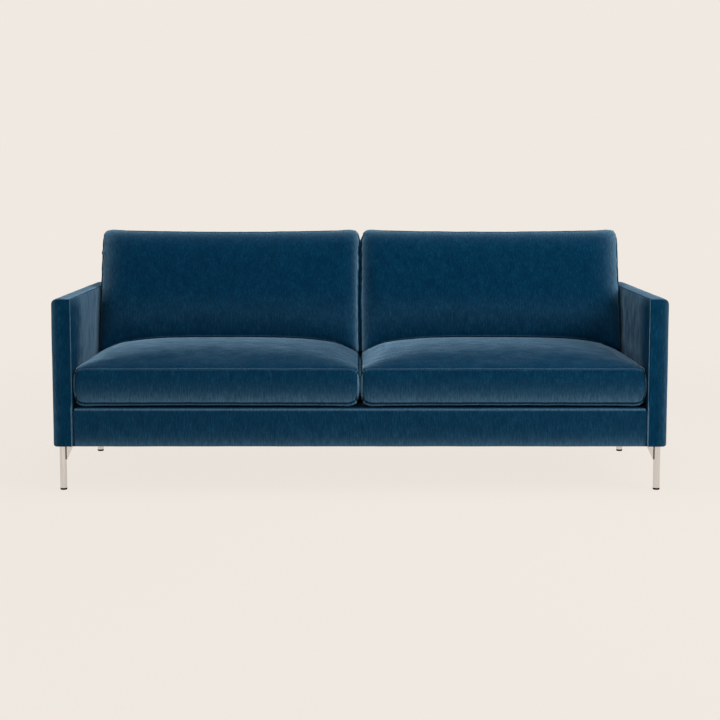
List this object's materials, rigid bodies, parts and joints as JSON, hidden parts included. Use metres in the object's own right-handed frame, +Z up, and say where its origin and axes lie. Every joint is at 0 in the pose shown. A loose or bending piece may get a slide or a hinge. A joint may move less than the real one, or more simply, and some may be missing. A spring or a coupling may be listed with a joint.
{
  "type": "tuxedo sofa",
  "caption": "Upholstered tuxedo sofa with thin arms and a back of one height, loose seat and back cushions, and metal tube legs with gussets.",
  "frame": {"origin": "on the floor, under the middle of the sofa's outline", "axes": "+X to the right as seen from the front, along the sofa's width; +Y from the front to the back; +Z up"},
  "size_m": [2.04, 0.91, 0.851],
  "materials": {
    "velvet": "matte",
    "timber": "matte",
    "plywood": "matte",
    "card": "matte",
    "foam": "matte",
    "fibre_wrap": "matte",
    "felt": "matte",
    "black_cloth": "matte",
    "webbing": "matte",
    "zip_tape": "satin",
    "steel": "satin",
    "nickel": "satin",
    "glide": "matte"
  },
  "bodies": {
    "frame": {"front_rail": "timber", "seat_back_rail": "timber", "left_side_rail": "timber", "right_side_rail": "timber", "centre_stretcher": "timber", "corner_blocks": "timber", "left_front_post": "timber", "right_front_post": "timber", "left_back_post": "timber", "right_back_post": "timber", "left_arm_top_rail": "timber", "right_arm_top_rail": "timber", "left_arm_boards": "card", "right_arm_boards": "card", "back_ribs": "plywood", "back_top_rail": "timber", "back_foot_rail": "timber", "back_board": "card", "back_webbing": "webbing", "seat_springs": "steel", "spring_clips": "steel", "seat_felt": "felt", "deck_pad": "foam", "deck_cloth": "black_cloth", "left_arm_foam": "foam", "right_arm_foam": "foam", "back_foam": "foam", "front_rail_foam": "foam", "left_arm_cover": "velvet", "right_arm_cover": "velvet", "front_rail_cover": "velvet", "inside_back_cover": "velvet", "outside_back_cover": "velvet", "dust_cover": "black_cloth", "left_front_leg": "nickel", "right_front_leg": "nickel", "left_back_leg": "nickel", "right_back_leg": "nickel", "leg_glides": "glide", "leg_screws": "steel"},
    "left_seat_cushion": {"left_seat_cushion_cover": "velvet", "left_seat_cushion_wrap": "fibre_wrap", "left_seat_cushion_core": "foam", "left_seat_zip": "zip_tape"},
    "left_seat_slider": {"left_seat_zip_slider": "nickel"},
    "left_back_cushion": {"left_back_cushion_cover": "velvet", "left_back_cushion_wrap": "fibre_wrap", "left_back_cushion_core": "foam", "left_back_zip": "zip_tape"},
    "left_back_slider": {"left_back_zip_slider": "nickel"},
    "right_seat_cushion": {"right_seat_cushion_cover": "velvet", "right_seat_cushion_wrap": "fibre_wrap", "right_seat_cushion_core": "foam", "right_seat_zip": "zip_tape"},
    "right_seat_slider": {"right_seat_zip_slider": "nickel"},
    "right_back_cushion": {"right_back_cushion_cover": "velvet", "right_back_cushion_wrap": "fibre_wrap", "right_back_cushion_core": "foam", "right_back_zip": "zip_tape"},
    "right_back_slider": {"right_back_zip_slider": "nickel"}
  },
  "joints": [
    {"name": "left_seat_cushion_pull", "type": "slide", "parent": "frame", "child": "left_seat_cushion", "axis": [0, -1, 0], "range_m": [0, 0.7]},
    {"name": "left_back_cushion_lift", "type": "slide", "parent": "frame", "child": "left_back_cushion", "axis": [0, 0, 1], "range_m": [0, 0.4]},
    {"name": "left_seat_zip_run", "type": "slide", "parent": "left_seat_cushion", "child": "left_seat_slider", "axis": [-1, 0, 0], "range_m": [0, 0.76]},
    {"name": "left_back_zip_run", "type": "slide", "parent": "left_back_cushion", "child": "left_back_slider", "axis": [1, 0, 0], "range_m": [0, 0.745]},
    {"name": "right_seat_cushion_pull", "type": "slide", "parent": "frame", "child": "right_seat_cushion", "axis": [0, -1, 0], "range_m": [0, 0.7]},
    {"name": "right_back_cushion_lift", "type": "slide", "parent": "frame", "child": "right_back_cushion", "axis": [0, 0, 1], "range_m": [0, 0.4]},
    {"name": "right_seat_zip_run", "type": "slide", "parent": "right_seat_cushion", "child": "right_seat_slider", "axis": [1, 0, 0], "range_m": [0, 0.76]},
    {"name": "right_back_zip_run", "type": "slide", "parent": "right_back_cushion", "child": "right_back_slider", "axis": [-1, 0, 0], "range_m": [0, 0.745]}
  ]
}
